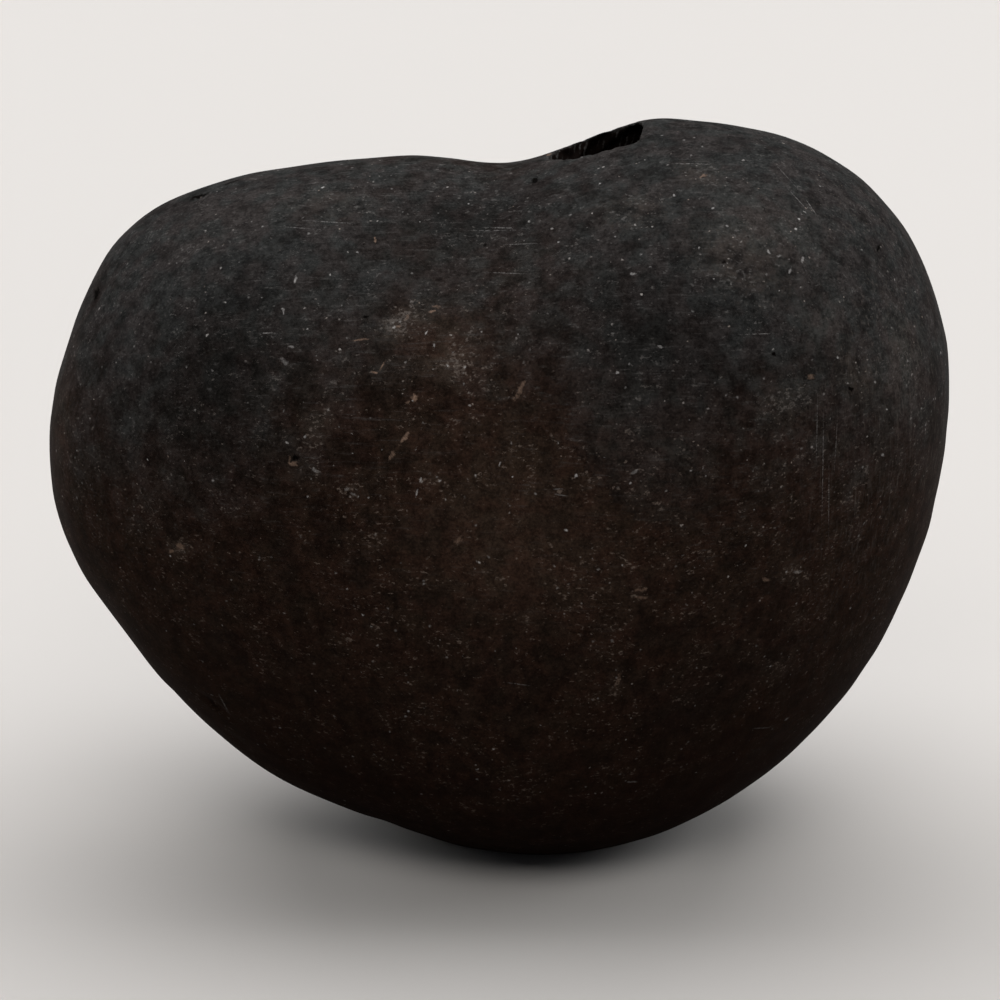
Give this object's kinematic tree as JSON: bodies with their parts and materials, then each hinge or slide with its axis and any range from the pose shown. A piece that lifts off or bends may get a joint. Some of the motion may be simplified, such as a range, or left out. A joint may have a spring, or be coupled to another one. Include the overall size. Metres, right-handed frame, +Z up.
{
  "type": "water-worn ammonite nodule",
  "caption": "Smooth black river stone, lopsided and heart-like, with the ribbed open mould of an ammonite's coil in its crown.",
  "frame": {"origin": "middle of the small worn flat that the stone stands on", "axes": "+Z up, +X to the right and +Y away from someone who faces the broad front; the mouth of the mould is right of the middle on the crown"},
  "size_m": [0.0893, 0.056, 0.0733],
  "materials": {
    "black_stone": "river-worn, between matt and satin, with fine scratches and pale grains"
  },
  "bodies": {
    "root": {"ammonite_stone": "black_stone"}
  },
  "joints": []
}
